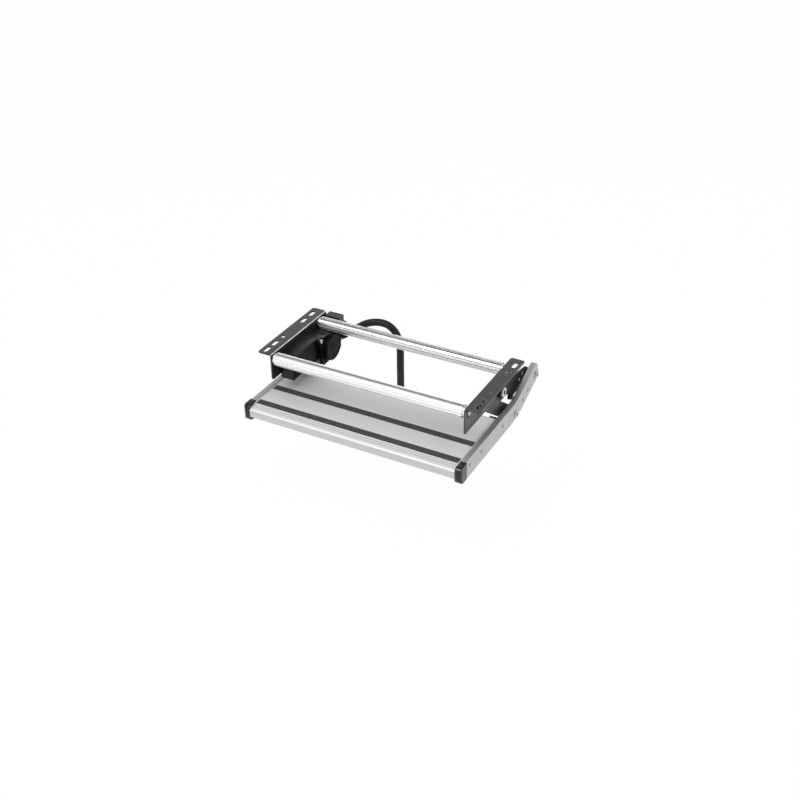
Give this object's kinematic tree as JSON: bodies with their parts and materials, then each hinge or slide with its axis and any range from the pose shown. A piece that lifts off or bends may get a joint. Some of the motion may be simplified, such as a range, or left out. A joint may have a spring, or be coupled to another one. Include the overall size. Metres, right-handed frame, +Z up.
{
  "type": "caravan pull-out step",
  "caption": "Motor-driven pull-out entrance step for a caravan, with black brackets, fluted cross tubes, bent arms and an aluminium tread with grip strips.",
  "frame": {"origin": "midpoint between the two round locating holes, on the flanges' top plane", "axes": "+X across the step to its right-hand side as seen from the door step's front, +Y towards the vehicle, +Z up"},
  "size_m": [0.564, 0.4301, 0.33],
  "materials": {
    "black_paint": "satin",
    "deck_aluminium": "satin",
    "tube_aluminium": "bright, fluted",
    "zinc": "zinc plated",
    "steel": "ground",
    "bronze": "satin",
    "copper": "turned",
    "black_plastic": "fine grain",
    "gloss_black": "glossy",
    "rubber": "matt",
    "grip": "gritty",
    "magnet": "matt",
    "board": "satin"
  },
  "bodies": {
    "frame": {"left_bracket": "black_paint", "right_bracket": "black_paint", "front_tube": "tube_aluminium", "rear_tube": "tube_aluminium", "tube_plugs": "black_plastic", "tube_screws": "zinc", "front_pivot_pins": "zinc", "rear_pivot_bolt": "zinc", "rear_pivot_nut": "zinc", "link_washers": "bronze", "gearbox_housing": "black_plastic", "gearbox_cap": "black_plastic", "gearbox_bolts": "zinc", "shaft_bush": "bronze", "shaft_seal": "rubber", "worm_bearings": "steel", "motor_cover": "black_plastic", "motor_can": "steel", "motor_magnets": "magnet", "motor_end_bell": "black_plastic", "control_box": "black_plastic", "control_box_lid": "black_plastic", "control_board": "board", "control_box_screws": "zinc", "cable_gland": "black_plastic", "cable": "black_plastic", "cable_connector": "black_plastic"},
    "motor_rotor": {"armature": "steel", "commutator": "copper", "motor_shaft": "steel", "worm": "steel"},
    "rear_links": {"left_rear_link": "black_paint", "right_rear_link": "black_paint", "rear_link_bush": "bronze", "rear_link_pins": "steel", "link_rivets": "zinc", "link_stops": "rubber", "link_stop_nuts": "zinc", "worm_wheel": "bronze", "output_shaft": "steel", "drive_screw": "zinc"},
    "front_links": {"left_front_link": "black_paint", "right_front_link": "black_paint", "front_link_bushes": "bronze"},
    "tread": {"deck": "deck_aluminium", "front_grip_strip": "grip", "rear_grip_strip": "grip", "left_arm": "deck_aluminium", "right_arm": "deck_aluminium", "left_end_cap": "gloss_black", "right_end_cap": "gloss_black", "pivot_plates": "black_paint", "arm_pivot_screws": "zinc", "arm_spacers": "steel", "arm_pivot_nuts": "zinc", "arm_screws": "zinc", "deck_buffers": "rubber"}
  },
  "joints": [
    {"name": "front_link_swing", "type": "hinge", "parent": "frame", "child": "front_links", "pos_m": [0, -0.012, -0.024], "axis": [-1, 0, 0], "range_deg": [0, 102.55]},
    {"name": "tread_level", "type": "hinge", "parent": "front_links", "child": "tread", "pos_m": [0, 0.133, -0.132], "axis": [-1, 0, 0], "range_deg": [-102.6, 0]},
    {"name": "rear_link_swing", "type": "hinge", "parent": "frame", "child": "rear_links", "pos_m": [0, 0.104, -0.062], "axis": [-1, 0, 0], "range_deg": [0, 156.8]},
    {"name": "rotor_spin", "type": "hinge", "parent": "frame", "child": "motor_rotor", "pos_m": [-0.2285, 0, -0.042], "axis": [0, 1, 0], "continuous": true}
  ],
  "couplings": [
    {"joint": "tread_level", "follows": "front_link_swing", "ratio": -1},
    {"joint": "rear_link_swing", "follows": "front_link_swing", "ratio": 1.5283},
    {"joint": "rotor_spin", "follows": "front_link_swing", "ratio": 51.96}
  ]
}
